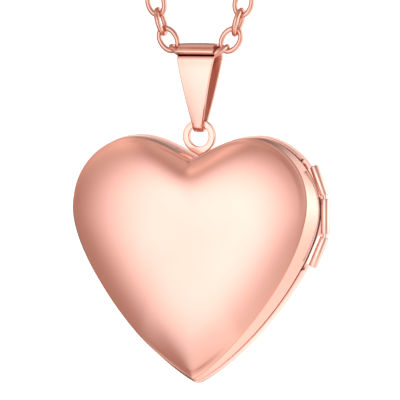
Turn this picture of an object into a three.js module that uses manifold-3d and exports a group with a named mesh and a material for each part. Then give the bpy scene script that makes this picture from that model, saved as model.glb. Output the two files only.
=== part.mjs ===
// Heart-shaped picture locket hanging on a folded bail and a cable chain, in millimetres, +Z up.
// The locket faces -Y. Its two halves part in the plane y = 0 and hinge on the +X side.
// The origin lies on the axis of the peg that the chain is wound on, PEG_Z above the heart's tip.
import * as THREE from "three";
import { mergeVertices } from "three/addons/utils/BufferGeometryUtils.js";
import Module from "manifold-3d";

const wasm = await Module();
wasm.setup();

// ---------------------------------------------------------------- driving dimensions
const HALF_WIDTH = 15.05; // heart, centre to side, at WIDEST_Z
const WIDEST_Z = 20;
const LOBE_X = 7.2; // top of each lobe
const LOBE_Z = 28.33;
const NOTCH_Z = 25.8;
const HEART_CENTRE_Z = 17; // the point that every smaller heart shrinks towards
const SHEET = 0.033; // metal thickness of the shells, as a share of the outline

const FRONT_LIP = 0.35; // straight rim before the front wall leans in
const FRONT_RIDGE_Y = -2.3; // where the front wall meets the dome
// The ridge's outline beside, above and below the heart's centre, as shares of the rim's.
const FRONT_RIDGE_WIDE = 0.937;
const FRONT_RIDGE_TOP = 0.99;
const FRONT_RIDGE_FOOT = 0.977;
const FRONT_DOME = 1.6; // rise of the dome above the ridge
const FRONT_POWER = 3.5; // fullness of the front dome
const TIP_RELIEF = 1.2; // how much shallower the ridge gets at the heart's tip
const TOP_RELIEF = 0.5; // and on top of the lobes
const RELIEF_POWER = 6; // how close to the ridge that relief stays
const FRONT_THICKNESS = 0.45;
const DOME_SHARES = [0.15, 0.45, 0.68, 0.84, 0.94]; // rings of the front dome, as shares of the ridge

const REAR_RIM_Y = 0.3;
const REAR_COLLAR_Y = 2.3;
const REAR_COLLAR_INNER_Y = 2.1;
const REAR_COLLAR_SCALE = 1.01;
const REAR_SHOULDER_Y = 3.9;
const REAR_SHOULDER_SCALE = 0.935;
const REAR_DOME = 1.1;
const REAR_POWER = 3;
const REAR_FLAT_SCALE = 0.3; // flat pad in the middle of the back
const REAR_THICKNESS = 0.45;

const HINGE_X = 15.62; // axis of the straight middle run of the hinge
const HINGE_Y = 0.35;
const KNUCKLE_R = 0.52;
const KNUCKLE_LEAF = 1.6; // how far a rear knuckle's leaf reaches back along the case
const BORE_R = 0.36;
const PIN_R = 0.27;
const HINGE_RELIEF_R = 0.95;
const HINGE_RUNS = {
  top: [[14.24, 25.05], [15.55, 21.75]],
  middle: [[HINGE_X, 21.35], [HINGE_X, 17.3]],
  bottom: [[15.55, 16.9], [14.1, 13.6]],
};
const PIN_POINTS = [[14.21, 25.13], [15.47, 21.95], [HINGE_X, 21.5], [HINGE_X, 19.3],
  [HINGE_X, 17.15], [15.46, 16.7], [14.07, 13.52]];

const HANG_Y = 1.25; // mid plane of eyelet, bail and chain
const EYELET_Z = 28.3;
const EYELET_R = 1.95;
const EYELET_HOLE_R = 1.2;
const EYELET_THICKNESS = 0.8;
const EYELET_FOOT_ANGLE = 52; // where the ring's outline turns into its pointed foot, below level
const EYELET_FOOT = [[-0.85, 26.5], [0, 26.05], [0.85, 26.5]];

const BAIL_SHEET = 0.35;
const BAIL_TOP_R = 1.42; // inside radius of the roll that the chain passes through
const BAIL_TOP_Z = 37.23;
const BAIL_FOOT_R = 0.5;
const BAIL_FOOT_Z = 29.65;
const BAIL_TOP_WIDTH = 4.5;
const BAIL_FOOT_WIDTH = 1.3;

const LINK_WIDTH = 2.65;
const LINK_LENGTH = 3.5;
const LINK_WIRE = 0.58;
const CHAIN_R = LINK_WIDTH / 2;
const TOUCH_GAP = 0.3; // room left between solids that meet
const CHAIN_LEAN = 15.4; // degrees that each strand leans away from upright
const CHAIN_BEND_R = 5.3;
const CHAIN_MOUTH = [0.9, 37.4]; // where the bend out of the bail begins
const CHAIN_MOUTH_ANGLE = 15; // slope of the chain there, above level
const COIL_R = 13.25; // mean radius of the wound chain
const COIL_PITCH = 2.9;
const COIL_SPREAD = 0.6; // each strand's shift off the mid plane when it meets the coil
const COIL_TURNS = (360 + 360 + 195.4) / 360;
const APEX_Z = 24.7; // the strands' straight runs point at this height on the centre line
const PEG_Z = APEX_Z + COIL_R / Math.sin(THREE.MathUtils.degToRad(CHAIN_LEAN));
const TAIL_RING_Z = PEG_Z - 9; // centre of the ring at each end of the chain
const TAIL_RING_R = 1.7;
const TAIL_RING_WIRE_R = 0.3;

// ---------------------------------------------------------------- materials
const roseGold = { color: 0xf0b8a0, roughness: 0.12, metalness: 1 };
const steel = { color: 0xd8c8c0, roughness: 0.25, metalness: 1 };
const card = { color: 0xf4f0e8, roughness: 0.85, metalness: 0 };
const film = { color: 0xf2f6f8, roughness: 0.06, metalness: 0 };

const locket = new THREE.Group();
locket.position.z = -PEG_Z;

function addPart(name, geometry, look) {
  const mesh = new THREE.Mesh(geometry, new THREE.MeshStandardMaterial(look));
  mesh.name = name;
  locket.add(mesh);
  return mesh;
}

// ---------------------------------------------------------------- heart outline
// Right half from the notch over the lobe and down to the tip; the left half mirrors it.
function rightHalf() {
  const curve = (a, b, c, d) => new THREE.CubicBezierCurve(
    new THREE.Vector2(...a), new THREE.Vector2(...b), new THREE.Vector2(...c), new THREE.Vector2(...d));
  const lobe = curve([0, NOTCH_Z], [2.2, 26.75], [4.4, LOBE_Z], [LOBE_X, LOBE_Z]);
  const shoulder = curve([LOBE_X, LOBE_Z], [10.9, LOBE_Z], [HALF_WIDTH, 24.5], [HALF_WIDTH, WIDEST_Z]);
  const side = curve([HALF_WIDTH, WIDEST_Z], [HALF_WIDTH, 14], [6.5, 3.35], [0, 0]);
  return [...lobe.getPoints(6), ...shoulder.getPoints(9).slice(1), ...side.getPoints(12).slice(1)];
}

const half = rightHalf();
const outline = [...half, ...half.slice(1, -1).reverse().map((p) => new THREE.Vector2(-p.x, p.y))];

// The outline shrunk towards the heart's centre, as x and z values.
function scaled(scale) {
  return outline.map((p) => new THREE.Vector2(
    p.x * scale, HEART_CENTRE_Z + (p.y - HEART_CENTRE_Z) * scale));
}

// 0 up to the heart's centre, rising to 1 on top of the lobes.
function nearTop(point) {
  return THREE.MathUtils.smoothstep(point.y, HEART_CENTRE_Z, LOBE_Z);
}

// How much shallower the ridge is at a point: most at the tip, a little on top of the lobes.
function relief(point) {
  const nearTip = 1 - THREE.MathUtils.smoothstep(Math.hypot(point.x, point.y), 0.5, 9);
  return TIP_RELIEF * nearTip + TOP_RELIEF * nearTop(point);
}

// The front ridge's outline less the sheet, shrunk to a share of itself.
function ridgeOutline(sheet, share) {
  return outline.map((p) => {
    const wide = THREE.MathUtils.lerp(FRONT_RIDGE_WIDE, FRONT_RIDGE_TOP, nearTop(p)) - sheet;
    const tall = (p.y > HEART_CENTRE_Z ? FRONT_RIDGE_TOP : FRONT_RIDGE_FOOT) - sheet;
    return new THREE.Vector2(p.x * wide * share, HEART_CENTRE_Z + (p.y - HEART_CENTRE_Z) * tall * share);
  });
}

// ---------------------------------------------------------------- solids from rings
// Joins rings of equal count into one closed skin. With closed set the last ring meets the first,
// otherwise each end is capped to its middle.
function skin(rings, closed = false) {
  const count = rings[0].length;
  const points = rings.flat();
  const faces = [];
  const bands = closed ? rings.length : rings.length - 1;
  for (let band = 0; band < bands; band += 1) {
    const a = band * count;
    const b = ((band + 1) % rings.length) * count;
    for (let i = 0; i < count; i += 1) {
      const j = (i + 1) % count;
      faces.push(a + i, b + i, b + j, a + i, b + j, a + j);
    }
  }
  if (!closed) {
    const middle = (ring) => ring.reduce((sum, p) => sum.add(p), new THREE.Vector3()).divideScalar(count);
    const last = (rings.length - 1) * count;
    points.push(middle(rings[0]), middle(rings.at(-1)));
    for (let i = 0; i < count; i += 1) {
      const j = (i + 1) % count;
      faces.push(points.length - 2, i, j, points.length - 1, last + j, last + i);
    }
  }
  const geometry = new THREE.BufferGeometry().setFromPoints(points);
  geometry.setIndex(faces);
  return geometry;
}

function heartRing(depth, line) {
  return line.map((p, i) => new THREE.Vector3(p.x, depth(outline[i]), p.y));
}

function heartShape(scale) {
  return new THREE.Shape(scaled(scale));
}

// A flat heart of the given outer scale from y0 to y1, with a heart-shaped hole if asked.
function heartPlate(scale, y0, y1, holeScale) {
  const shape = heartShape(scale);
  if (holeScale) {
    shape.holes.push(new THREE.Path(scaled(holeScale).reverse()));
  }
  const geometry = new THREE.ExtrudeGeometry(shape, { depth: y1 - y0, bevelEnabled: false });
  return geometry.rotateX(Math.PI / 2).translate(0, y1, 0);
}

// ---------------------------------------------------------------- booleans
function solid(geometry) {
  const bare = geometry.clone();
  bare.deleteAttribute("normal");
  bare.deleteAttribute("uv");
  const merged = mergeVertices(bare, 1e-4);
  return new wasm.Manifold(new wasm.Mesh({
    numProp: 3,
    vertProperties: merged.attributes.position.array,
    triVerts: new Uint32Array(merged.index.array),
  }));
}

function cut(geometry, ...tools) {
  let body = solid(geometry);
  for (const tool of tools) {
    body = body.subtract(solid(tool));
  }
  const mesh = body.getMesh();
  const result = new THREE.BufferGeometry();
  result.setAttribute("position", new THREE.BufferAttribute(mesh.vertProperties, mesh.numProp));
  result.setIndex(new THREE.BufferAttribute(mesh.triVerts, 1));
  return result;
}

function block(x0, x1, y0, y1, z0, z1) {
  return new THREE.BoxGeometry(x1 - x0, y1 - y0, z1 - z0)
    .translate((x0 + x1) / 2, (y0 + y1) / 2, (z0 + z1) / 2);
}

// A round bar along a list of points.
function bar(points, radius, sides, steps) {
  const path = new THREE.CatmullRomCurve3(points, false, "centripetal");
  const section = new THREE.Shape();
  section.absarc(0, 0, radius, 0, 2 * Math.PI, false);
  return new THREE.ExtrudeGeometry(section, {
    steps, curveSegments: sides, extrudePath: path, bevelEnabled: false,
  });
}

const inHingePlane = ([x, z]) => new THREE.Vector3(x, HINGE_Y, z);
const deg = THREE.MathUtils.degToRad;

function roundHole(x, z, radius) {
  const hole = new THREE.Path();
  hole.absarc(x, z, radius, 0, 2 * Math.PI, false);
  return hole;
}

// A flat shape drawn in x and z, given its thickness about the plane y = 0.
function flatPart(shape, thickness, curveSegments = 20) {
  return new THREE.ExtrudeGeometry(shape, { depth: thickness, bevelEnabled: false, curveSegments })
    .rotateX(Math.PI / 2)
    .translate(0, thickness / 2, 0);
}

// ---------------------------------------------------------------- shells
function frontShell() {
  const lip = () => -FRONT_LIP;
  const rim = () => 0;
  const ridge = (thickness) => (p) => FRONT_RIDGE_Y + relief(p) + thickness;
  const domeRing = (share, sheet, thickness) => heartRing(
    (p) => FRONT_RIDGE_Y - FRONT_DOME * (1 - share ** FRONT_POWER)
      + relief(p) * share ** RELIEF_POWER + thickness,
    ridgeOutline(sheet, share),
  );
  const rings = [
    ...DOME_SHARES.map((share) => domeRing(share, 0, 0)),
    heartRing(ridge(0), ridgeOutline(0, 1)),
    heartRing(lip, scaled(1)),
    heartRing(rim, scaled(1)),
    heartRing(rim, scaled(1 - SHEET)),
    heartRing(lip, scaled(1 - SHEET)),
    heartRing(ridge(FRONT_THICKNESS), ridgeOutline(SHEET, 1)),
    ...DOME_SHARES.toReversed().map((share) => domeRing(share, SHEET, FRONT_THICKNESS)),
  ];
  return skin(rings.map((ring) => ring.toReversed()));
}

function rearShell() {
  const at = (y) => () => y;
  const dome = (share, thickness) => at(
    REAR_SHOULDER_Y + REAR_DOME * (1 - share ** REAR_POWER) - thickness);
  const shares = [REAR_FLAT_SCALE, 0.6, 0.8, 0.92];
  const inner = REAR_SHOULDER_SCALE - SHEET;
  const rings = [
    ...shares.map((share) => heartRing(dome(share, 0), scaled(REAR_SHOULDER_SCALE * share))),
    heartRing(at(REAR_SHOULDER_Y), scaled(REAR_SHOULDER_SCALE)),
    heartRing(at(REAR_COLLAR_Y), scaled(REAR_COLLAR_SCALE)),
    heartRing(at(REAR_RIM_Y), scaled(REAR_COLLAR_SCALE)),
    heartRing(at(REAR_RIM_Y), scaled(REAR_COLLAR_SCALE - SHEET)),
    heartRing(at(REAR_COLLAR_INNER_Y), scaled(REAR_COLLAR_SCALE - SHEET)),
    heartRing(at(REAR_SHOULDER_Y - REAR_THICKNESS), scaled(inner)),
    ...shares.toReversed().map((share) => heartRing(dome(share, REAR_THICKNESS), scaled(inner * share))),
  ];
  const hingeLine = [[13.6, 26.3], ...PIN_POINTS, [13.35, 11.9]].map(inHingePlane);
  return cut(skin(rings), bar(hingeLine, HINGE_RELIEF_R, 12, 24));
}

// ---------------------------------------------------------------- hinge
// A tube knuckle. With a leaf length it is rolled from a leaf that reaches back along the rear case.
function knuckle([start, end], leafLength) {
  const leafInner = -0.38;
  const leafOuter = -0.12;
  const angleAt = (x) => Math.acos(x / KNUCKLE_R);
  const shape = new THREE.Shape();
  if (leafLength) {
    shape.moveTo(leafOuter, leafLength);
    shape.absarc(0, 0, KNUCKLE_R, angleAt(leafOuter), angleAt(leafInner) - 2 * Math.PI, true);
    shape.lineTo(leafInner, leafLength);
  } else {
    shape.absarc(0, 0, KNUCKLE_R, 0, 2 * Math.PI, false);
  }
  shape.holes.push(roundHole(0, 0, BORE_R));
  const foot = inHingePlane(end);
  const run = inHingePlane(start).sub(foot);
  const tube = { depth: run.length(), bevelEnabled: false, curveSegments: 14 };
  const along = run.clone().normalize();
  const upwards = new THREE.Vector3(0, 1, 0);
  const frame = new THREE.Matrix4().makeBasis(upwards.clone().cross(along), upwards, along);
  return new THREE.ExtrudeGeometry(shape, tube).applyMatrix4(frame.setPosition(foot));
}

// ---------------------------------------------------------------- eyelet and bail
function eyelet() {
  const shape = new THREE.Shape();
  shape.absarc(0, EYELET_Z, EYELET_R, deg(-EYELET_FOOT_ANGLE), deg(180 + EYELET_FOOT_ANGLE), false);
  EYELET_FOOT.forEach(([x, z]) => shape.lineTo(x, z));
  shape.holes.push(roundHole(0, EYELET_Z, EYELET_HOLE_R));
  return flatPart(shape, EYELET_THICKNESS, 28).translate(0, HANG_Y, 0);
}

// One strip folded into a teardrop: a wide roll on top, a narrow fold below.
function bail() {
  const drop = BAIL_TOP_Z - BAIL_FOOT_Z;
  const lean = Math.asin((BAIL_TOP_R - BAIL_FOOT_R) / drop);
  const rings = [];
  const addSection = (radius, centreZ, angle) => {
    const z = centreZ + radius * Math.sin(angle);
    const rise = THREE.MathUtils.clamp((z - BAIL_FOOT_Z) / drop, 0, 1);
    const width = THREE.MathUtils.lerp(BAIL_FOOT_WIDTH, BAIL_TOP_WIDTH, rise) / 2;
    const corner = (side, out) => new THREE.Vector3(side * width,
      HANG_Y + (radius + out) * Math.cos(angle), centreZ + (radius + out) * Math.sin(angle));
    rings.push([corner(-1, BAIL_SHEET), corner(1, BAIL_SHEET), corner(1, 0), corner(-1, 0)]);
  };
  const steps = 14;
  for (let i = 0; i <= steps; i += 1) {
    addSection(BAIL_TOP_R, BAIL_TOP_Z, -lean + (i / steps) * (Math.PI + 2 * lean));
  }
  for (let i = 0; i <= steps; i += 1) {
    addSection(BAIL_FOOT_R, BAIL_FOOT_Z, Math.PI + lean + (i / steps) * (Math.PI - 2 * lean));
  }
  return skin(rings, true);
}

// ---------------------------------------------------------------- chain
// One oval link in the x-z plane, its long side along x.
function link() {
  const bend = (LINK_WIDTH - LINK_WIRE) / 2;
  const straight = (LINK_LENGTH - LINK_WIDTH) / 2;
  const rings = [];
  const steps = 20;
  for (let i = 0; i < steps; i += 1) {
    const angle = ((i + 0.5) / steps) * 2 * Math.PI;
    const centre = new THREE.Vector3(
      bend * Math.cos(angle) + straight * Math.sign(Math.cos(angle)), 0, bend * Math.sin(angle));
    const out = new THREE.Vector3(Math.cos(angle), 0, Math.sin(angle));
    const ring = [];
    for (let k = 0; k < 8; k += 1) {
      const turn = (k / 8) * 2 * Math.PI;
      ring.push(centre.clone().addScaledVector(out, (LINK_WIRE / 2) * Math.cos(turn))
        .add(new THREE.Vector3(0, (-LINK_WIRE / 2) * Math.sin(turn), 0)));
    }
    rings.push(ring);
  }
  return skin(rings, true);
}

// The strand's centre line from the bend at the bail's mouth to just short of the coil.
// side is -1 for the left strand and +1 for the right one.
function strandPoints(side) {
  const upright = 90 - CHAIN_LEAN;
  const points = [];
  for (const slope of [42, 50, 58, 66, upright]) {
    points.push([
      CHAIN_MOUTH[0] + CHAIN_BEND_R * (Math.sin(deg(slope)) - Math.sin(deg(CHAIN_MOUTH_ANGLE))),
      CHAIN_MOUTH[1] + CHAIN_BEND_R * (Math.cos(deg(CHAIN_MOUTH_ANGLE)) - Math.cos(deg(slope))),
    ]);
  }
  const [bendX, bendZ] = points.at(-1);
  const tangentX = COIL_R * Math.cos(deg(CHAIN_LEAN));
  const tangentZ = PEG_Z - COIL_R * Math.sin(deg(CHAIN_LEAN));
  const clear = COIL_R + 2 * CHAIN_R + TOUCH_GAP; // how far from the peg the strand is clear of the coil
  const short = Math.sqrt(clear ** 2 - COIL_R ** 2) / Math.hypot(tangentX - bendX, tangentZ - bendZ);
  for (const share of [0.2, 0.4, 0.6, 1 - short]) {
    points.push([bendX + (tangentX - bendX) * share, bendZ + (tangentZ - bendZ) * share]);
  }
  return points.map(([x, z]) => {
    const rise = THREE.MathUtils.clamp((z - bendZ) / (tangentZ - bendZ), 0, 1);
    return new THREE.Vector3(side * x, HANG_Y + side * COIL_SPREAD * rise, z);
  });
}

// The outer shape of the wound chain on one side of the mid plane.
function coil(side) {
  const near = HANG_Y + side * TOUCH_GAP / 2;
  const far = HANG_Y + side * (COIL_SPREAD + COIL_PITCH * COIL_TURNS + CHAIN_R);
  const low = Math.min(near, far);
  const high = Math.max(near, far);
  const chamfer = 0.6;
  const profile = [
    [COIL_R - CHAIN_R, low + chamfer], [COIL_R - CHAIN_R + chamfer, low],
    [COIL_R + CHAIN_R - chamfer, low], [COIL_R + CHAIN_R, low + chamfer],
    [COIL_R + CHAIN_R, high - chamfer], [COIL_R + CHAIN_R - chamfer, high],
    [COIL_R - CHAIN_R + chamfer, high], [COIL_R - CHAIN_R, high - chamfer],
  ].map(([r, y]) => new THREE.Vector2(r, y));
  return new THREE.LatheGeometry([...profile, profile[0]], 40).translate(0, 0, PEG_Z);
}

// The ring at one end of the chain, facing sideways.
function addTailRing(name, x, y) {
  const ring = addPart(name, new THREE.TorusGeometry(TAIL_RING_R, TAIL_RING_WIRE_R, 8, 20), roseGold);
  ring.rotation.y = Math.PI / 2;
  ring.position.set(x, y, TAIL_RING_Z);
}

// ---------------------------------------------------------------- clasp
// All in the clasp's own frame, with its zero height CLASP_DROP below the ring it hangs from.
const CLASP_DROP = 1.15;
const CLASP = {
  eyeZ: -0.5, eyeR: 0.95, holeR: 0.5, bowlZ: -6.4, outerR: 2.7, innerR: 1.6,
  pivot: [1.25, -3.95], thickness: 2, tail: 1, slot: 1.3, lever: 0.9, rivetR: 0.3, rivetBoreR: 0.38,
};
const HOOK_END = { outer: -19, inner: -46 }; // the hook's end face, as angles on the bowl
const LEVER_END = { outer: -16, inner: -36 }; // the lever's end face, which swings in past the hook's
const LEVER_TAB = [[2.75, -4.2], [3.1, -3.6], [2.7, -3.25]];
const onBowl = (radius, angle) => [
  radius * Math.cos(deg(angle)), CLASP.bowlZ + radius * Math.sin(deg(angle))];

// Claw with its eye on top and a slot for the lever.
function claspBody() {
  const { eyeZ, eyeR, holeR, bowlZ, outerR, innerR, pivot, thickness, tail, slot } = CLASP;
  const shape = new THREE.Shape();
  shape.moveTo(...onBowl(outerR, HOOK_END.outer));
  shape.absarc(0, bowlZ, outerR, deg(HOOK_END.outer), deg(-212), true);
  shape.absarc(0, eyeZ, eyeR, Math.PI, 0, true);
  shape.lineTo(pivot[0] + 0.75, pivot[1] + 0.4);
  shape.lineTo(...onBowl(outerR, 48));
  shape.absarc(0, bowlZ, innerR, deg(48), deg(360 + HOOK_END.inner), false);
  shape.holes.push(roundHole(0, eyeZ, holeR), roundHole(...pivot, CLASP.rivetBoreR));
  return cut(flatPart(shape, thickness),
    block(-3, 3, tail / 2, thickness, -2.1, 1),
    block(-3, 3, -thickness, -tail / 2, -2.1, 1),
    block(0.35, 4, -slot / 2, slot / 2, -6.2, -2.45));
}

function claspLever() {
  const { bowlZ, pivot, lever, innerR, outerR } = CLASP;
  const hubR = 0.68;
  const outer = outerR - 0.1;
  const inner = innerR + 0.12;
  const shape = new THREE.Shape();
  shape.moveTo(...onBowl(outer, LEVER_END.outer));
  shape.absarc(0, bowlZ, outer, deg(LEVER_END.outer), deg(38), false);
  LEVER_TAB.forEach(([x, z]) => shape.lineTo(x, z));
  shape.lineTo(pivot[0] + 0.45, pivot[1] + 0.5);
  shape.absarc(...pivot, hubR, deg(50), deg(200), false);
  shape.absarc(0, bowlZ, inner, deg(52), deg(LEVER_END.inner), true);
  shape.holes.push(roundHole(...pivot, CLASP.rivetBoreR));
  return flatPart(shape, lever);
}

// ---------------------------------------------------------------- assembly
function buildFrontHalf() {
  addPart("front_shell", frontShell(), roseGold);
  addPart("front_inner_frame", heartPlate(0.87, -1.3, -0.7, 0.76), roseGold);
  addPart("front_window", heartPlate(0.84, -1.6, -1.4), film);
  addPart("front_photo", heartPlate(0.8, -1.85, -1.65), card);
  addPart("front_backing_plate", heartPlate(0.78, -2.2, -1.9), steel);
  addPart("front_hinge_knuckle", knuckle(HINGE_RUNS.middle, 0), roseGold);
}

function buildRearHalf() {
  addPart("rear_shell", rearShell(), roseGold);
  addPart("alignment_lip", heartPlate(0.935, -0.55, 1, 0.91), roseGold);
  addPart("rear_inner_frame", heartPlate(0.9, 0.2, 0.9, 0.77), roseGold);
  addPart("rear_window", heartPlate(0.86, 0.95, 1.15), film);
  addPart("rear_photo", heartPlate(0.84, 1.2, 1.4), card);
  addPart("rear_backing_plate", heartPlate(0.83, 1.45, 1.75), steel);
  addPart("rear_hinge_knuckle_top", knuckle(HINGE_RUNS.top, KNUCKLE_LEAF), roseGold);
  addPart("rear_hinge_knuckle_bottom", knuckle(HINGE_RUNS.bottom, KNUCKLE_LEAF), roseGold);
  addPart("hinge_pin", bar(PIN_POINTS.map(inHingePlane), PIN_R, 8, 36), steel);
  const beadProfile = [[0, 0], [0.45, 0], [0.4, 0.15], [0.22, 0.27], [0, 0.3]];
  const bead = addPart("catch_bead",
    new THREE.LatheGeometry(beadProfile.map((p) => new THREE.Vector2(...p)), 16), roseGold);
  bead.rotation.z = Math.PI / 2;
  bead.position.set(-14.12, -0.05, WIDEST_Z);
  addPart("eyelet_tab", eyelet(), roseGold);
}

function buildChain() {
  const bailLink = addPart("bail_link", link(), roseGold);
  bailLink.position.set(0, HANG_Y, BAIL_TOP_Z);
  for (const [name, side] of [["left", -1], ["right", 1]]) {
    addPart(`chain_${name}_strand`, bar(strandPoints(side), CHAIN_R, 8, 14), roseGold);
    addPart(`chain_${name}_coil`, coil(side), roseGold);
  }
}

const tailY = (side) => HANG_Y + side * (COIL_SPREAD + COIL_PITCH * COIL_TURNS);

function buildClasp() {
  const [pivotX, pivotZ] = CLASP.pivot;
  addTailRing("clasp_jump_ring", COIL_R, tailY(-1));
  const clasp = new THREE.Group();
  clasp.position.set(COIL_R, tailY(-1), TAIL_RING_Z - CLASP_DROP);
  locket.add(clasp);
  const rivet = addPart("clasp_rivet",
    new THREE.CylinderGeometry(CLASP.rivetR, CLASP.rivetR, CLASP.thickness, 12), steel);
  rivet.position.set(pivotX, 0, pivotZ);
  clasp.add(
    addPart("clasp_body", claspBody(), roseGold),
    addPart("clasp_lever", claspLever(), roseGold),
    rivet,
    addPart("clasp_spring", block(0.45, 1.7, -0.35, 0.35, -2.95, -2.7), steel),
  );
}

buildFrontHalf();
buildRearHalf();
addPart("bail", bail(), roseGold);
buildChain();
buildClasp();
addTailRing("end_jump_ring", -COIL_R, tailY(1));

export default locket;
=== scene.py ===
import math
import random

import bmesh
import bpy
import numpy as np
from mathutils import Matrix, Vector


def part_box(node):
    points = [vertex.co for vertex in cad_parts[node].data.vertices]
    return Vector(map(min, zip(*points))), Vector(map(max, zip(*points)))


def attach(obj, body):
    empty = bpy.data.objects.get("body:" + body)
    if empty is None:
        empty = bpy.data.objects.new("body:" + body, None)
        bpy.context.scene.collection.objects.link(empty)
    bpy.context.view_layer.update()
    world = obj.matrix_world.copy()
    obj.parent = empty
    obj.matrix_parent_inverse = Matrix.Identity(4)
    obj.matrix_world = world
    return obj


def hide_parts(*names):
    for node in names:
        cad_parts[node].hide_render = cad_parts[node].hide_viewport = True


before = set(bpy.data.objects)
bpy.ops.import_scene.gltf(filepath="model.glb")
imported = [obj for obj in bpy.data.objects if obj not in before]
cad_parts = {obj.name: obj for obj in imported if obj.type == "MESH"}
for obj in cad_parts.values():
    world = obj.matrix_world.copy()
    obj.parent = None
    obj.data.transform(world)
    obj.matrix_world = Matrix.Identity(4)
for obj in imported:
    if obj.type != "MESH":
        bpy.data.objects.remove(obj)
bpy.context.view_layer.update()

# ---------------------------------------------------------------- sizes in mm, heights above the heart's tip
MM = 0.001
TIP_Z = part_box("front_shell")[0].z / MM  # the heart's tip, in the frame's own height
HALF_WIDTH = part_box("front_shell")[1].x / MM
WIDEST_Z = 20
LOBE_X = 7.2
LOBE_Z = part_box("front_shell")[1].z / MM - TIP_Z
NOTCH_Z = 25.8
CENTRE_Z = 17  # every smaller heart shrinks towards this point
SHEET = 0.033  # metal thickness as a share of the outline

FRONT_LIP = 0.35
RIDGE_Y = -2.3
RIDGE_WIDE = 0.937  # the ridge's outline beside, above and below the centre, as shares of the rim's
RIDGE_TOP = 0.99
RIDGE_FOOT = 0.977
FRONT_DOME = -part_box("front_shell")[0].y / MM + RIDGE_Y
FRONT_POWER = 3.5
TIP_RELIEF = 1.2  # how much shallower the ridge gets at the tip
TOP_RELIEF = 0.5  # and on top of the lobes
RELIEF_POWER = 6  # how close to the ridge that relief stays
FRONT_THICKNESS = 0.45
EDGE_ROUND = 0.1
RIDGE_ROUND = 0.14
RIDGE_EDGE = 0.975  # where the dome hands over to the rounded ridge, as a share of it

REAR_RIM_Y = 0.3
REAR_COLLAR_Y = 2.3
REAR_SCALE = 1.01
SHOULDER_Y = 3.9
SHOULDER_SCALE = 0.935
SHOULDER_EDGE = 0.987  # where the rear dome hands over to the rounded shoulder
REAR_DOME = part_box("rear_shell")[1].y / MM - SHOULDER_Y
REAR_POWER = 3
REAR_FLAT = 0.3  # share of the rear dome that is flat
REAR_THICKNESS = 0.45

HINGE_X = 15.62
HINGE_Y = 0.35
KNUCKLE_R = 0.52
KNUCKLE_EASE = 0.07
BORE_R = 0.36
PIN_R = 0.27
# piece, CAD node, body, the tube's two ends, length of its leaf
KNUCKLES = (
    ("front_knuckle", "front_hinge_knuckle", "locket_front", ((HINGE_X, 21.35), (HINGE_X, 17.3)), 0),
    ("rear_knuckle_top", "rear_hinge_knuckle_top", "locket_rear", ((14.24, 25.05), (15.55, 21.75)), 1.6),
    ("rear_knuckle_bottom", "rear_hinge_knuckle_bottom", "locket_rear", ((15.55, 16.9), (14.1, 13.6)), 1.6),
)
PIN_POINTS = ((14.21, 25.13), (15.47, 21.95), (HINGE_X, 21.5), (HINGE_X, 19.3),
              (HINGE_X, 17.15), (15.46, 16.7), (14.07, 13.52))
SEAT_SPAN = (13.1, 25.85)  # heights between which the rear collar is cut back for the hinge tubes
SEAT_DEPTH = 0.25  # how far its rim steps back
SEAT_INSET = 0.022  # how far it is sunk, as a share of the outline
SEAT_NOTCH = (25.05, 25.85)  # heights where it is sunk further, above the top tube
SEAT_NOTCH_INSET = 0.013
SEAT_BACK_Y = 1.1
SEAT_EASE = 0.12  # height over which the seat starts and ends

HANG_Y = (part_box("eyelet_tab")[0].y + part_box("eyelet_tab")[1].y) / 2 / MM
EYELET_Z = 28.3
EYELET_R = 1.95
EYELET_HOLE_R = 1.2
EYELET_THICKNESS = 0.8
EYELET_FOOT_ANGLE = 52  # how far below its middle the round part runs into the foot
EYELET_FOOT = [(-0.85, 26.5), (0, 26.05), (0.85, 26.5)]

BAIL_SHEET = 0.35
BAIL_EASE = 0.07
BAIL_CROWN = 0.05  # how much thicker the strip is along its middle
BAIL_TOP_R = 1.42  # inside the roll on top
BAIL_TOP_Z = 37.23
BAIL_FOOT_R = 0.5  # inside the fold at the foot
BAIL_FOOT_Z = 29.65
BAIL_TOP_WIDTH = 4.5
BAIL_FOOT_WIDTH = 1.3
BAIL_CREASE_Z = BAIL_TOP_Z + 0.42  # a crease between the rolled edge on top and the front leg
BAIL_CREASE = 0.34  # how deep the leg dips towards the crease
BAIL_CREASE_FADE = 1.0  # how far down the leg that dip reaches
BAIL_SLOT = 0.1  # a finer groove along the crease
BAIL_SLOT_HALF = 0.08
BAIL_BEAD = 0.2  # how far the rolled edge swells out above the crease
BAIL_BEAD_TALL = 1.0
BAIL_BOW = 0.22  # how far the middle of each leg bulges outwards
BAIL_DROP = BAIL_TOP_Z - BAIL_FOOT_Z
BAIL_LEAN = math.asin((BAIL_TOP_R - BAIL_FOOT_R) / BAIL_DROP)

LINK_WIDTH = 2.65
LINK_LENGTH = 3.5
LINK_WIRE = 0.62
LINK_PITCH = LINK_LENGTH - 2 * LINK_WIRE
LINK_OVERHANG = 0.1  # how far the last link reaches past the strand's end
FIRST_LINK = 1.35  # the first link's middle, from the strand's start
LINK_REACH = 0.6  # how far to each side of its middle a link follows the strand
CHAIN_LEAN = 15.4  # how far each strand leans off upright, in degrees
CHAIN_BEND_R = 5.3  # of the strand's bend beside the bail
CHAIN_MOUTH = (0.9, 37.4)  # where each strand starts inside the bail, in x and z
CHAIN_MOUTH_ANGLE = 15  # how steeply it rises there, in degrees
CHAIN_EXIT_Z = 38.1
COIL_R = 13.25  # of the turns round the peg
COIL_PITCH = 2.9  # how far each turn moves along the peg
COIL_SPREAD = 0.6  # how far the two strands are off the middle where they meet the peg
COIL_TURNS = 915.4 / 360
PEG_Z = -TIP_Z
TAIL_RING_Z = PEG_Z - 9  # the rings at the ends of the hanging tails
TAIL_END_Z = TAIL_RING_Z + 0.95
JUMP_RING_R = 1.7
JUMP_RING_WIRE_R = 0.3

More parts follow.
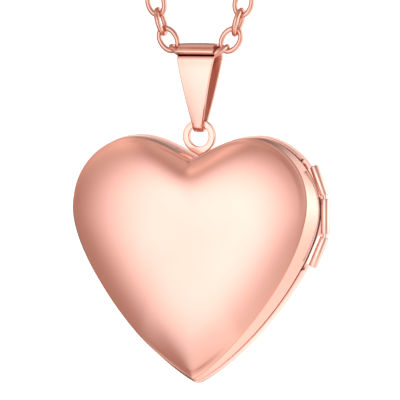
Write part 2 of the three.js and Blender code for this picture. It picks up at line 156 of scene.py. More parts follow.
# ---------------------------------------------------------------- camera, from the front and the hinge side
CAMERA_AZIMUTH = 20
CAMERA_ELEVATION = 2.5
CAMERA_DISTANCE = 0.75
SENSOR_WIDTH = 36
VIEW_WIDTH = 46.0 * MM
AIM = Vector((0.5, 0, TIP_Z + 21)) * MM


def direction(azimuth, elevation):
    """Away from the locket; azimuth 0 is in front of it and 90 on its hinge side."""
    turn, rise = math.radians(azimuth), math.radians(elevation)
    return Vector((math.sin(turn) * math.cos(rise), -math.cos(turn) * math.cos(rise), math.sin(rise)))


def make_camera():
    data = bpy.data.cameras.new("camera")
    data.sensor_width = SENSOR_WIDTH
    data.lens = SENSOR_WIDTH * CAMERA_DISTANCE / VIEW_WIDTH
    data.clip_start = 0.01
    camera = bpy.data.objects.new("camera", data)
    bpy.context.scene.collection.objects.link(camera)
    towards = direction(CAMERA_AZIMUTH, CAMERA_ELEVATION)
    camera.location = AIM + towards * CAMERA_DISTANCE
    camera.rotation_euler = (-towards).to_track_quat("-Z", "Y").to_euler()
    bpy.context.scene.camera = camera


make_camera()


# ---------------------------------------------------------------- mesh helpers
def place(points):
    """Millimetres above the heart's tip to metres in the frame."""
    moved = np.array(points, float)
    moved[..., 2] += TIP_Z
    return moved * MM


def add_object(name, mesh, body, material, smooth_angle, flat_faces=False):
    """A piece that rides on a body. Edges sharper than smooth_angle stay sharp, and 0 smooths them all.

    flat_faces keeps the shading of large flat faces level up to their edges.
    """
    piece = bpy.data.objects.new(name, mesh)
    bpy.context.scene.collection.objects.link(piece)
    mesh.materials.append(material)
    mesh.shade_smooth()
    if smooth_angle:
        mesh.set_sharp_from_angle(angle=math.radians(smooth_angle))
    if flat_faces:
        piece.modifiers.new("level_shading", "WEIGHTED_NORMAL").keep_sharp = True
    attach(piece, body)
    return piece


def replacing(piece, *nodes):
    """The piece, with the CAD model's solids that it stands in for hidden."""
    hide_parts(*nodes)
    return piece


def solid(name, points, faces):
    """A mesh from points in millimetres, with its faces turned outwards."""
    mesh = bpy.data.meshes.new(name)
    mesh.from_pydata([tuple(point) for point in place(points)], [], faces)
    work = bmesh.new()
    work.from_mesh(mesh)
    bmesh.ops.recalc_face_normals(work, faces=work.faces)
    if work.calc_volume(signed=True) < 0:
        bmesh.ops.reverse_faces(work, faces=work.faces)
    work.to_mesh(mesh)
    work.free()
    return mesh


def faces_between(count, rings, closed):
    """Quads joining rings of count points; with closed set the last ring meets the first."""
    bands = rings if closed else rings - 1
    quads = []
    for band in range(bands):
        a = band * count
        b = (band + 1) % rings * count
        quads += [(a + i, b + i, b + (i + 1) % count, a + (i + 1) % count) for i in range(count)]
    return quads


def ring_mesh(name, rings, closed=False):
    """A closed skin over rings of points in millimetres, capped at both ends unless it closes on itself."""
    rings = np.array(rings, float)
    number, count = rings.shape[:2]
    points = list(rings.reshape(-1, 3))
    faces = faces_between(count, number, closed)
    if not closed:
        last = (number - 1) * count
        points += [rings[0].mean(0), rings[-1].mean(0)]
        start, end = len(points) - 2, len(points) - 1
        faces += [(start, i, (i + 1) % count) for i in range(count)]
        faces += [(end, last + (i + 1) % count, last + i) for i in range(count)]
    return solid(name, points, faces)


def hoop(centre, radius, first, second, count):
    """Points round a circle in the plane of two unit vectors."""
    turns = np.arange(count) / count * 2 * math.pi
    return centre + radius * (np.outer(np.cos(turns), first) + np.outer(np.sin(turns), second))


def bezier(a, b, c, d, t):
    """Points at the shares t along a cubic curve from a to d."""
    t = t[:, None]
    u = 1 - t
    a, b, c, d = (np.array(p, float) for p in (a, b, c, d))
    return u**3 * a + 3 * u**2 * t * b + 3 * u * t**2 * c + t**3 * d


def rounded(corners, radius, steps=5):
    """A polyline's inner corners turned into small arcs; radius is one size or one for each inner corner."""
    sizes = np.broadcast_to(radius, len(corners) - 2)
    corners = [np.array(c, float) for c in corners]
    line = [corners[0]]
    for before, corner, after, size in zip(corners, corners[1:], corners[2:], sizes):
        back, on = before - corner, after - corner
        reach = min(size, 0.45 * np.linalg.norm(back), 0.45 * np.linalg.norm(on))
        start = corner + back / np.linalg.norm(back) * reach
        end = corner + on / np.linalg.norm(on) * reach
        for t in np.linspace(0, 1, steps):
            line.append((1 - t) ** 2 * start + 2 * t * (1 - t) * corner + t * t * end)
    line.append(corners[-1])
    return line


# ---------------------------------------------------------------- heart outline
RAYS = 320  # points round each heart, one on the tip and one on the notch


def outline_radius():
    """Distance from the heart's centre to its outline along evenly spaced rays, anticlockwise from +x."""
    t = np.linspace(0, 1, 400)
    half = np.vstack([
        bezier((0, NOTCH_Z), (2.2, 26.75), (4.4, LOBE_Z), (LOBE_X, LOBE_Z), t),
        bezier((LOBE_X, LOBE_Z), (10.9, LOBE_Z), (HALF_WIDTH, 24.5), (HALF_WIDTH, WIDEST_Z), t)[1:],
        bezier((HALF_WIDTH, WIDEST_Z), (HALF_WIDTH, 14), (6.5, 3.35), (0, 0), t)[1:],
    ])
    x, z = half[:, 0], half[:, 1] - CENTRE_Z
    angle = np.arctan2(z, x)[::-1]
    length = np.hypot(x, z)[::-1]
    rays = np.arange(RAYS) / RAYS * 2 * math.pi
    folded = np.arcsin(np.clip(np.sin(rays), -1, 1))  # the left half mirrors the right one
    return rays, np.interp(folded, angle, length)


RAY_ANGLES, OUTLINE = outline_radius()
RAY_COS = np.cos(RAY_ANGLES)
RAY_SIN = np.sin(RAY_ANGLES)


def softened(amount):
    """The outline's radii with corners rounded off; amount is the blur along the rim in radians."""
    waves = np.fft.rfft(OUTLINE)
    order = np.arange(len(waves))
    return np.fft.irfft(waves * np.exp(-0.5 * (order * amount) ** 2), RAYS)


def smoothstep(share):
    """A share from 0 to 1 that starts and ends gently."""
    share = np.clip(share, 0, 1)
    return share * share * (3 - 2 * share)


OUTLINE_X = OUTLINE * RAY_COS
OUTLINE_RISE = OUTLINE * RAY_SIN  # above the heart's centre
NEAR_TOP = smoothstep(OUTLINE_RISE / (LOBE_Z - CENTRE_Z))
TIP_ZONE = (0.5, 8.5)  # distance from the tip where its relief starts to fade, and over how much it does
NEAR_TIP = 1 - smoothstep((np.hypot(OUTLINE_X, OUTLINE_RISE + CENTRE_Z) - TIP_ZONE[0]) / TIP_ZONE[1])
RELIEF = TIP_RELIEF * NEAR_TIP + TOP_RELIEF * NEAR_TOP


def heart_ring(wide, y, top=None, foot=None, soften=0.0):
    """The outline at a depth y, scaled by wide beside the centre, by top above it and by foot below."""
    top = wide if top is None else top
    foot = wide if foot is None else foot
    radius = softened(soften) if soften else OUTLINE
    across = wide + (top - wide) * NEAR_TOP
    tall = np.where(OUTLINE_RISE > 0, top, foot)
    return np.stack([radius * RAY_COS * across, np.broadcast_to(y, RAYS),
                     CENTRE_Z + radius * RAY_SIN * tall], 1)


# ---------------------------------------------------------------- materials
def new_material(name):
    """A material with its nodes, its links and its shader node."""
    material = bpy.data.materials.new(name)
    material.use_nodes = True
    nodes = material.node_tree.nodes
    return material, nodes, material.node_tree.links, nodes["Principled BSDF"]


def noise(nodes, links, coordinates, scale, detail, stretch=None):
    """A noise value; stretch multiplies the coordinates along x, y and z."""
    texture = nodes.new("ShaderNodeTexNoise")
    texture.inputs["Scale"].default_value = scale
    texture.inputs["Detail"].default_value = detail
    source = coordinates
    if stretch:
        mapping = nodes.new("ShaderNodeMapping")
        mapping.inputs["Scale"].default_value = stretch
        links.new(coordinates, mapping.inputs["Vector"])
        source = mapping.outputs["Vector"]
    links.new(source, texture.inputs["Vector"])
    return texture.outputs["Fac"]


def spread(nodes, links, value, low, high):
    """The middle part of a noise value stretched out between low and high."""
    ranged = nodes.new("ShaderNodeMapRange")
    ranged.inputs["From Min"].default_value = 0.3
    ranged.inputs["From Max"].default_value = 0.7
    ranged.inputs["To Min"].default_value = low
    ranged.inputs["To Max"].default_value = high
    links.new(value, ranged.inputs["Value"])
    return ranged.outputs["Result"]


def tint(nodes, links, value, first, second):
    """A colour between first at 0 and second at 1."""
    ramp = nodes.new("ShaderNodeMix")
    ramp.data_type = "RGBA"
    ramp.inputs["A"].default_value = (*first, 1)
    ramp.inputs["B"].default_value = (*second, 1)
    links.new(value, ramp.inputs["Factor"])
    return ramp.outputs["Result"]


def calculate(nodes, links, operation, value, other=0.0):
    """A sum on a value, with a fixed number for the operations that take one."""
    node = nodes.new("ShaderNodeMath")
    node.operation = operation
    node.inputs[1].default_value = other
    links.new(value, node.inputs[0])
    return node.outputs["Value"]


def bump(nodes, links, height, strength, distance):
    node = nodes.new("ShaderNodeBump")
    node.inputs["Strength"].default_value = strength
    node.inputs["Distance"].default_value = distance
    links.new(height, node.inputs["Height"])
    return node.outputs["Normal"]


def metal(name, first, second, rough, bump_strength, stretch):
    """Plated metal: a faint drift of colour, hairline polishing marks and uneven gloss."""
    material, nodes, links, shader = new_material(name)
    where = nodes.new("ShaderNodeTexCoord").outputs["Object"]
    drift = spread(nodes, links, noise(nodes, links, where, 160, 2), 0, 1)
    links.new(tint(nodes, links, drift, first, second), shader.inputs["Base Color"])
    marks = noise(nodes, links, where, 2600, 4, stretch)
    links.new(spread(nodes, links, marks, *rough), shader.inputs["Roughness"])
    links.new(bump(nodes, links, marks, bump_strength, 0.00001), shader.inputs["Normal"])
    shader.inputs["Metallic"].default_value = 1
    return material


def metal_with_painted_crease_shade(name, finish, height, reach):
    """Plated metal with painted shade: its colour darkens to near black in a band round one height, where the
    crease lies.
    """
    material = metal(name, *finish)
    nodes, links = material.node_tree.nodes, material.node_tree.links
    shader = nodes["Principled BSDF"]
    axes = nodes.new("ShaderNodeSeparateXYZ")
    links.new(nodes.new("ShaderNodeTexCoord").outputs["Object"], axes.inputs[0])
    offset = calculate(nodes, links, "SUBTRACT", axes.outputs["Z"], height)
    outside_painted_shade = nodes.new("ShaderNodeMapRange")
    outside_painted_shade.interpolation_type = "SMOOTHSTEP"
    outside_painted_shade.inputs["From Min"].default_value = reach * 0.35
    outside_painted_shade.inputs["From Max"].default_value = reach
    links.new(calculate(nodes, links, "ABSOLUTE", offset), outside_painted_shade.inputs["Value"])
    mix = nodes.new("ShaderNodeMix")
    mix.data_type = "RGBA"
    mix.inputs["A"].default_value = CREASE_PAINTED_SHADE
    links.new(outside_painted_shade.outputs[0], mix.inputs["Factor"])
    links.new(shader.inputs["Base Color"].links[0].from_socket, mix.inputs["B"])
    links.new(mix.outputs["Result"], shader.inputs["Base Color"])
    return material


def card_material():
    """Pale matt card with fine fibres."""
    material, nodes, links, shader = new_material("picture_card")
    where = nodes.new("ShaderNodeTexCoord").outputs["Object"]
    fibres = noise(nodes, links, where, 3000, 6)
    colour = tint(nodes, links, spread(nodes, links, fibres, 0, 1), (0.86, 0.83, 0.77), (0.93, 0.91, 0.86))
    links.new(colour, shader.inputs["Base Color"])
    links.new(spread(nodes, links, fibres, 0.75, 0.92), shader.inputs["Roughness"])
    links.new(bump(nodes, links, fibres, 0.25, 0.00003), shader.inputs["Normal"])
    return material


def film_material():
    """Clear film with light scuffs."""
    material, nodes, links, shader = new_material("clear_film")
    where = nodes.new("ShaderNodeTexCoord").outputs["Object"]
    marks = noise(nodes, links, where, 900, 3, (1, 1, 6))
    shader.inputs["Base Color"].default_value = (0.97, 0.98, 1, 1)
    links.new(spread(nodes, links, marks, 0.04, 0.12), shader.inputs["Roughness"])
    links.new(bump(nodes, links, marks, 0.04, 0.00002), shader.inputs["Normal"])
    shader.inputs["Alpha"].default_value = 0.16
    shader.inputs["IOR"].default_value = 1.49
    return material


# painted shade: the near-black colour painted into the bail's crease
CREASE_PAINTED_SHADE = (0.16, 0.065, 0.045, 1)
POLISHED = ((0.895, 0.53, 0.43), (0.915, 0.555, 0.455), (0.14, 0.19), 0.05, (1, 1, 3))

ROSE = metal("rose_gold_polished", *POLISHED)
# painted light: a paler copy of the polished rose gold for the hinge tubes, so they show cream and peach like
# brightly lit metal
ROSE_HINGE_PAINTED_LIGHT = metal("rose_gold_hinge", (0.92, 0.64, 0.55), (0.935, 0.67, 0.58), (0.13, 0.18), 0.05, (1, 1, 3))
ROSE_WIRE = metal("rose_gold_wire", (0.80, 0.465, 0.375), (0.84, 0.495, 0.4), (0.08, 0.14), 0.08, (1, 1, 1))
ROSE_SATIN = metal("rose_gold_inner", (0.91, 0.60, 0.48), (0.93, 0.64, 0.52), (0.2, 0.3), 0.15, (6, 1, 1))
# the bail strip's inner faces: a rougher satin finish, and a paler colour than the polished metal, painted
# light for the shaded inside of the fold
ROSE_SATIN_INSIDE_PAINTED_LIGHT = metal("rose_gold_bail_inside", (0.96, 0.60, 0.50), (0.98, 0.63, 0.53), (0.3, 0.4), 0.05,
                    (1, 1, 3))
# painted shade: near-black metal for the rear collar's seat behind the hinge tubes, where they shade it
ROSE_PAINTED_SEAT_SHADE = metal("rose_gold_painted_seat_shade", (0.2, 0.09, 0.07), (0.28, 0.13, 0.1), (0.35, 0.5), 0.1, (1, 1, 1))
PLATE = metal("inner_plate_satin", (0.72, 0.66, 0.63), (0.78, 0.72, 0.69), (0.3, 0.42), 0.3, (12, 1, 1))
WIRE = metal("drawn_steel_wire", (0.74, 0.68, 0.65), (0.80, 0.74, 0.71), (0.18, 0.28), 0.15, (1, 1, 8))
# the bail's metal, with painted shade darkening its crease
ROSE_WITH_PAINTED_CREASE_SHADE = metal_with_painted_crease_shade("rose_gold_bail", POLISHED, (TIP_Z + BAIL_CREASE_Z) * MM, 0.22 * MM)
CARD = card_material()
FILM = film_material()


# ---------------------------------------------------------------- chain
LINK_STEPS = 28
LINK_SIDES = 10
JUMP_RING_STEPS = 48
JUMP_RING_SIDES = 14


def chain_path(side):
    """The strand out of the bail, its turns round the peg and its hanging tail; side is -1 left, +1 right."""
    bend = [math.radians(s) for s in np.linspace(CHAIN_MOUTH_ANGLE, 90 - CHAIN_LEAN, 13)]
    first = bend[0]
    flat = [(CHAIN_MOUTH[0] + CHAIN_BEND_R * (math.sin(s) - math.sin(first)),
             CHAIN_MOUTH[1] + CHAIN_BEND_R * (math.cos(first) - math.cos(s))) for s in bend]
    lean = math.radians(CHAIN_LEAN)
    tangent = (COIL_R * math.cos(lean), PEG_Z - COIL_R * math.sin(lean))
    end = flat[-1]
    flat += [(end[0] + (tangent[0] - end[0]) * t, end[1] + (tangent[1] - end[1]) * t)
             for t in np.linspace(0, 1, 16)[1:]]
    points = []
    for x, z in flat:
        shift = COIL_SPREAD * min(max((z - end[1]) / (tangent[1] - end[1]), 0), 1)
        points.append((side * x, HANG_Y + side * shift, z))
    for turn in np.linspace(0, COIL_TURNS, 130)[1:]:
        angle = math.radians(-CHAIN_LEAN + 360 * turn)
        points.append((side * COIL_R * math.cos(angle),
                       HANG_Y + side * (COIL_SPREAD + COIL_PITCH * turn), PEG_Z + COIL_R * math.sin(angle)))
    x, y, z = points[-1]
    points += [(x, y, z + (TAIL_END_Z - z) * t) for t in (0.25, 0.5, 0.75, 1)]
    return np.array(points)


def oval_link(centre, along, face):
    """Rings of one link; along is its long direction and face the normal of its plane."""
    along = along / np.linalg.norm(along)
    face = face - along * face.dot(along)
    face = face / np.linalg.norm(face)
    across = np.cross(face, along)
    half_length = (LINK_LENGTH - LINK_WIRE) / 2
    half_width = (LINK_WIDTH - LINK_WIRE) / 2
    rings = []
    for i in range(LINK_STEPS):
        angle = i / LINK_STEPS * 2 * math.pi
        out = along * half_width * math.cos(angle) + across * half_length * math.sin(angle)
        out = out / np.linalg.norm(out)
        middle = centre + along * half_length * math.cos(angle) + across * half_width * math.sin(angle)
        rings.append(hoop(middle, LINK_WIRE / 2, out, face, LINK_SIDES))
    return np.array(rings)


def link_mesh(name, links):
    """One mesh of many links, each of them rings that close on themselves."""
    points, faces = [], []
    for rings in links:
        number, count = rings.shape[:2]
        base = sum(len(p) for p in points)
        points.append(rings.reshape(-1, 3))
        faces += [tuple(base + v for v in quad) for quad in faces_between(count, number, True)]
    return solid(name, np.vstack(points), faces)


def make_chain(name, side, with_pieces):
    """One strand of links, each turned a quarter against the one before and tilted a little."""
    path = chain_path(side)
    steps = np.linalg.norm(np.diff(path, axis=0), axis=1)
    travelled = np.concatenate([[0], np.cumsum(steps)])
    length = travelled[-1]
    room = length - FIRST_LINK - LINK_LENGTH / 2
    count = int(room / LINK_PITCH) + 1
    pitch = (room + LINK_OVERHANG) / (count - 1)
    wobble = random.Random(5 + side)

    def point_at(distance):
        return np.array([np.interp(distance, travelled, path[:, k]) for k in range(3)])

    links = []
    for i in range(count):
        at = FIRST_LINK + i * pitch
        along = point_at(at + LINK_REACH) - point_at(at - LINK_REACH)
        outward = np.cross(along, (0, 1, 0))
        roll = math.radians(90 * ((i + 1) % 2) + wobble.uniform(-7, 7))
        face = np.array((0, 1, 0)) * math.cos(roll) + outward / np.linalg.norm(outward) * math.sin(roll)
        links.append(oval_link(point_at(at), along, face))
    piece = add_object(name, link_mesh(name, links), "chain", ROSE_WIRE, 0)
    exit_point = place([side * BAIL_TOP_WIDTH / 2, HANG_Y, CHAIN_EXIT_Z])
    place(path).tolist()
    return piece


def make_jump_ring(name, node, centre):
    """A round ring of wire that stands across x at the end of a strand."""
    axis, up = np.array((1, 0, 0)), np.array((0, 0, 1))
    across = np.cross(axis, up)
    rings = []
    for i in range(JUMP_RING_STEPS):
        angle = i / JUMP_RING_STEPS * 2 * math.pi
        out = up * math.cos(angle) + across * math.sin(angle)
        rings.append(hoop(centre + JUMP_RING_R * out, JUMP_RING_WIRE_R, out, axis, JUMP_RING_SIDES))
    return replacing(add_object(name, ring_mesh(name, rings, True), "chain", ROSE_WIRE, 0), node)


# ---------------------------------------------------------------- clasp
CLASP_X = COIL_R
CLASP_Y = HANG_Y - COIL_SPREAD - COIL_PITCH * COIL_TURNS
CLASP_Z = TAIL_RING_Z - 1.15
# the clasp's parts are drawn in x and z from the point (CLASP_X, CLASP_Z)
EYE = (0, -0.5)
EYE_R = 0.5
EYE_OUTER_R = 0.95
EYE_HALF = 0.5  # half of the thickness round the eye
BOWL = (0.0, -6.4)
BOWL_R = 1.6
CLAW_R = 2.7
CLAW_THICKNESS = 2
CLAW_ROUND = 0.3
PIVOT = (1.25, -3.95)
PIVOT_HOLE_R = 0.38
LEVER_BOSS_R = 0.68
LEVER_THICKNESS = 0.9
LEVER_ROUND = 0.12
LEVER_THUMB = [(2.75, -4.2), (3.05, -3.85), (3.1, -3.55), (2.9, -3.3), (2.7, -3.25)]
RIVET_PROFILE = ((-1.0, 0.02), (-1.04, 0.1), (-1.03, 0.24), (-0.96, 0.3),
                 (0.96, 0.3), (1.03, 0.24), (1.04, 0.1))  # depth and radius
SPRING_WIDTH = 0.6
SPRING_SHEET = 0.12
STRIP_PROFILE = ((1, -0.8), (0.6, -1), (-0.6, -1), (-1, -0.8), (-1, 0.8), (-0.6, 1), (0.6, 1), (1, 0.8))
WELD_DISTANCE = 0.000004


def arc(centre, radius, start, end, steps):
    """Points along an arc between two angles in degrees."""
    return [(centre[0] + radius * math.cos(math.radians(a)), centre[1] + radius * math.sin(math.radians(a)))
            for a in np.linspace(start, end, steps)]


def slab(name, outline, holes, thickness, y_middle, round_off):
    """A plate cut to an outline in x and z with round holes, its edges eased, in millimetres."""
    curve = bpy.data.curves.new(name, "CURVE")
    curve.dimensions = "2D"
    curve.fill_mode = "BOTH"
    curve.extrude = (thickness / 2 - round_off) * MM
    curve.bevel_depth = round_off * MM
    curve.bevel_resolution = 3
    curve.offset = -round_off * MM
    for loop in [outline, *holes]:
        spline = curve.splines.new("POLY")
        spline.points.add(len(loop) - 1)
        for point, (x, z) in zip(spline.points, loop):
            point.co = (x * MM, z * MM, 0, 1)
        spline.use_cyclic_u = True
    shape = bpy.data.objects.new(name, curve)
    mesh = bpy.data.meshes.new_from_object(shape)
    bpy.data.objects.remove(shape)
    bpy.data.curves.remove(curve)
    mesh.name = name
    upright = Matrix.Rotation(math.pi / 2, 4, "X")
    mesh.transform(Matrix.Translation((0, y_middle * MM, TIP_Z * MM)) @ upright)
    weld(mesh)
    return mesh


def weld(mesh):
    """Joins the points that a curve's caps and sides leave on top of each other."""
    work = bmesh.new()
    work.from_mesh(mesh)
    bmesh.ops.remove_doubles(work, verts=work.verts, dist=WELD_DISTANCE)
    bmesh.ops.recalc_face_normals(work, faces=work.faces)
    work.to_mesh(mesh)
    work.free()


def boolean(mesh, other, operation):
    """mesh joined with or cut by other."""
    scene = bpy.context.scene
    target = bpy.data.objects.new("boolean_target", mesh)
    tool = bpy.data.objects.new("boolean_tool", other)
    scene.collection.objects.link(target)
    scene.collection.objects.link(tool)
    modifier = target.modifiers.new("cut", "BOOLEAN")
    modifier.operation = operation
    modifier.object = tool
    modifier.solver = "EXACT"
    result = bpy.data.meshes.new_from_object(target.evaluated_get(bpy.context.evaluated_depsgraph_get()))
    bpy.data.objects.remove(target)
    bpy.data.objects.remove(tool)
    return result


def box_mesh(name, low, high):
    """A box between two corners in millimetres."""
    mesh = bpy.data.meshes.new(name)
    work = bmesh.new()
    bmesh.ops.create_cube(work, size=1)
    for vertex in work.verts:
        corner = [low[k] if vertex.co[k] < 0 else high[k] for k in range(3)]
        vertex.co = place(corner)
    work.to_mesh(mesh)
    work.free()
    return mesh


def at_clasp(points):
    """Points of the clasp's own drawing, moved to where the clasp hangs."""
    return [(x + CLASP_X, z + CLASP_Z) for x, z in points]


def cut_at_clasp(mesh, name, low, high):
    """The mesh without a box that is given from the clasp's own zero point."""
    zero = np.array((CLASP_X, CLASP_Y, CLASP_Z))
    return boolean(mesh, box_mesh(name, zero + low, zero + high), "DIFFERENCE")


def claw_outline():
    """The open hook round the bowl, with the eye on top."""
    return (arc(BOWL, CLAW_R, -19, -212, 52) + arc(EYE, EYE_OUTER_R, 180, 0, 20)
            + arc((PIVOT[0] + 0.05, PIVOT[1] + 0.35), 0.78, 25, -20, 6) + arc(BOWL, CLAW_R, 50, 48, 2)
            + arc(BOWL, BOWL_R, 48, 314, 48))


def lever_outline():
    """The finger that closes the hook, its thumb rest and the boss round the pivot."""
    return (arc(BOWL, CLAW_R - 0.1, -16, 38, 20) + LEVER_THUMB + arc(PIVOT, LEVER_BOSS_R, 50, 200, 20)
            + arc(BOWL, BOWL_R + 0.12, 52, -36, 24))


def strip_mesh(name, line, y_middle, width, thickness):
    """A thin strip that follows points in x and z."""
    line = np.array(line)
    slope = np.gradient(line, axis=0)
    normal = np.stack([-slope[:, 1], slope[:, 0]], 1)
    normal /= np.linalg.norm(normal, axis=1)[:, None]
    rings = []
    for (x, z), (nx, nz) in zip(line, normal):
        rings.append([(x + nx * thickness / 2 * a, y_middle + width / 2 * b, z + nz * thickness / 2 * a)
                      for a, b in STRIP_PROFILE])
    return ring_mesh(name, rings)


def make_claw():
    """The clasp's body: its eye is thinned on both sides and a slot takes the lever and the spring."""
    holes = [at_clasp(arc(EYE, EYE_R, 360, 15, 24)), at_clasp(arc(PIVOT, PIVOT_HOLE_R, 360, 15, 24))]
    mesh = slab("clasp_body", at_clasp(claw_outline()), holes, CLAW_THICKNESS, CLASP_Y, CLAW_ROUND)
    mesh = cut_at_clasp(mesh, "trim", (-3, EYE_HALF, -2.1), (3, 2, 1))
    mesh = cut_at_clasp(mesh, "trim", (-3, -2, -2.1), (3, -EYE_HALF, 1))
    mesh = cut_at_clasp(mesh, "slot", (0.35, -0.65, -6.2), (4, 0.65, -2.45))
    mesh.name = "clasp_claw"
    return replacing(add_object("clasp_claw", mesh, "chain", ROSE_WIRE, 32, True), "clasp_body")


def make_lever():
    """The clasp's moving finger."""
    hole = at_clasp(arc(PIVOT, PIVOT_HOLE_R, 360, 15, 24))
    mesh = slab("clasp_thumb_lever", at_clasp(lever_outline()), [hole], LEVER_THICKNESS, CLASP_Y, LEVER_ROUND)
    lever = add_object("clasp_thumb_lever", mesh, "clasp_lever", ROSE_WIRE, 32, True)
    replacing(lever, "clasp_lever")


def make_rivet():
    """The pin the lever turns on, with a domed head at both ends."""
    x, z = CLASP_X + PIVOT[0], CLASP_Z + PIVOT[1]
    rings = [hoop((x, CLASP_Y + y, z), radius, (1, 0, 0), (0, 0, 1), 24) for y, radius in RIVET_PROFILE]
    rivet = ring_mesh("clasp_rivet_pin", rings)
    replacing(add_object("clasp_rivet_pin", rivet, "chain", WIRE, 40), "clasp_rivet")


def make_spring():
    """The wavy strip that presses the lever shut."""
    line = [(0.5 + 1.15 * t, -2.84 + 0.08 * math.sin(t * 4 * math.pi)) for t in np.linspace(0, 1, 24)]
    spring = strip_mesh("clasp_leaf_spring", at_clasp(line), CLASP_Y, SPRING_WIDTH, SPRING_SHEET)
    replacing(add_object("clasp_leaf_spring", spring, "chain", WIRE, 40), "clasp_spring")


def make_bail_link():
    """The link inside the bail that joins both strands."""
    link = oval_link(np.array((0, HANG_Y, BAIL_TOP_Z)), np.array((1.0, 0, 0)), np.array((0, 1.0, 0)))
    mesh = link_mesh("chain_middle_link", [link])
    return replacing(add_object("chain_middle_link", mesh, "chain", ROSE_WIRE, 0), "bail_link")


claw = make_claw()
make_lever()
make_rivet()
make_spring()
clasp_ring = make_jump_ring("clasp_ring", "clasp_jump_ring", (CLASP_X, CLASP_Y, TAIL_RING_Z))
left_chain = make_chain("chain_left", -1, [make_bail_link(), claw, clasp_ring, "clasp_thumb_lever",
                                           "clasp_rivet_pin", "clasp_leaf_spring"])
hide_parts("chain_left_strand", "chain_left_coil")
end_centre = (-COIL_R, HANG_Y + COIL_SPREAD + COIL_PITCH * COIL_TURNS, TAIL_RING_Z)
right_chain = make_chain("chain_right", 1, [make_jump_ring("end_ring", "end_jump_ring", end_centre)])
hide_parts("chain_right_strand", "chain_right_coil")


# ---------------------------------------------------------------- shells
DOME_SHARES = 1 - np.linspace(1, 0.18, 24) ** 1.8  # rings of a dome, closer together towards its edge


def corner_blur(share):
    """How far a dome's rings lose the heart's corners, in radians, from the edge inwards."""
    return 0.5 * (1 - share) ** 0.9


def front_dome_ring(share, sheet, thickness):
    """A ring of the front dome at a share of the ridge; sheet shrinks it to the inner face."""
    y = RIDGE_Y - FRONT_DOME * (1 - share**FRONT_POWER) + thickness
    wide, top, foot = ((edge - sheet) * share for edge in (RIDGE_WIDE, RIDGE_TOP, RIDGE_FOOT))
    return heart_ring(wide, y + RELIEF * share**RELIEF_POWER, top, foot, corner_blur(share))


def front_wall_rings():
    """From the dome's edge over the ridge, down the wall, round the rim and back up inside."""
    rise = FRONT_DOME * (1 - RIDGE_EDGE**FRONT_POWER)
    ridge = np.array([RIDGE_WIDE, RIDGE_TOP, RIDGE_FOOT])
    rim = np.ones(3)
    corners = [
        (ridge * RIDGE_EDGE, RIDGE_Y - rise, 1),
        (ridge, RIDGE_Y, 1),
        (rim, -FRONT_LIP, 0),
        (rim, 0, 0),
        (rim - SHEET, 0, 0),
        (rim - SHEET, -FRONT_LIP, 0),
        (ridge - SHEET, RIDGE_Y + FRONT_THICKNESS, 1),
        ((ridge - SHEET) * RIDGE_EDGE, RIDGE_Y + FRONT_THICKNESS - rise, 1),
    ]
    line = rounded([(wide * HALF_WIDTH, top, foot, y, weight) for (wide, top, foot), y, weight in corners],
                   (RIDGE_ROUND, EDGE_ROUND, EDGE_ROUND, EDGE_ROUND, EDGE_ROUND, RIDGE_ROUND), 7)
    return [heart_ring(wide / HALF_WIDTH, y + RELIEF * weight, top, foot)
            for wide, top, foot, y, weight in line]


def make_front_shell():
    rings = [front_dome_ring(share, 0, 0) for share in DOME_SHARES]
    rings += front_wall_rings()
    rings += [front_dome_ring(share, SHEET, FRONT_THICKNESS) for share in reversed(DOME_SHARES)]
    piece = add_object("front_cover", ring_mesh("front_cover", rings), "locket_front", ROSE, 50)
    replacing(piece, "front_shell")


def hinge_seat():
    """How far the rear collar is sunk at each ray to take the hinge tubes, as a share of the outline."""
    height = CENTRE_Z + OUTLINE_RISE * REAR_SCALE

    def between(low, high):
        inside = np.clip((height - low) / SEAT_EASE, 0, 1) * np.clip((high - height) / SEAT_EASE, 0, 1)
        return inside * (OUTLINE_X > 0)

    return SEAT_INSET * between(*SEAT_SPAN) + SEAT_NOTCH_INSET * between(*SEAT_NOTCH)


def rear_dome_y(share):
    """Depth of the rear dome's outer face at a share of its shoulder."""
    rise = max(share - REAR_FLAT, 0) / (1 - REAR_FLAT)
    return SHOULDER_Y + REAR_DOME * (1 - rise**REAR_POWER)


def rear_dome_rings(scale, thickness):
    """Rings of the rear dome from its middle outwards; thickness moves them to the inner face."""
    shares = [0.03, 0.1, 0.2, REAR_FLAT, *(share for share in DOME_SHARES if share > REAR_FLAT)]
    return [heart_ring(scale * share, rear_dome_y(share) - thickness, soften=corner_blur(share))
            for share in shares]


def rear_wall_rings():
    """From the dome's edge over the shoulder, along the collar with its seat, and back inside."""
    edge = rear_dome_y(SHOULDER_EDGE)
    outer, inner = SHOULDER_SCALE, SHOULDER_SCALE - SHEET
    collar, collar_inner = REAR_SCALE, REAR_SCALE - SHEET
    corners = [
        (outer * SHOULDER_EDGE, edge, 0),
        (outer, SHOULDER_Y, 0),
        (collar, REAR_COLLAR_Y, 0),
        (collar, SEAT_BACK_Y + 0.02, 0),
        (collar, SEAT_BACK_Y, 1),
        (collar, REAR_RIM_Y, 1),
        (collar_inner, REAR_RIM_Y, 1),
        (collar_inner, SEAT_BACK_Y, 0),
        (collar_inner, REAR_COLLAR_Y - 0.2, 0),
        (inner, SHOULDER_Y - REAR_THICKNESS, 0),
        (inner * SHOULDER_EDGE, edge - REAR_THICKNESS, 0),
    ]
    line = rounded([(across * HALF_WIDTH, y, sunk) for across, y, sunk in corners],
                   (0.3, 0.22, 0.01, 0.01, 0.08, 0.08, 0.1, 0.1, 0.2), 6)
    seat = hinge_seat()
    rings = []
    for across, y, sunk in line:
        step = SEAT_DEPTH * sunk * (seat > 0) * (y < SEAT_BACK_Y - 0.2)
        rings.append(heart_ring(across / HALF_WIDTH - seat * sunk, y + step))
    return rings


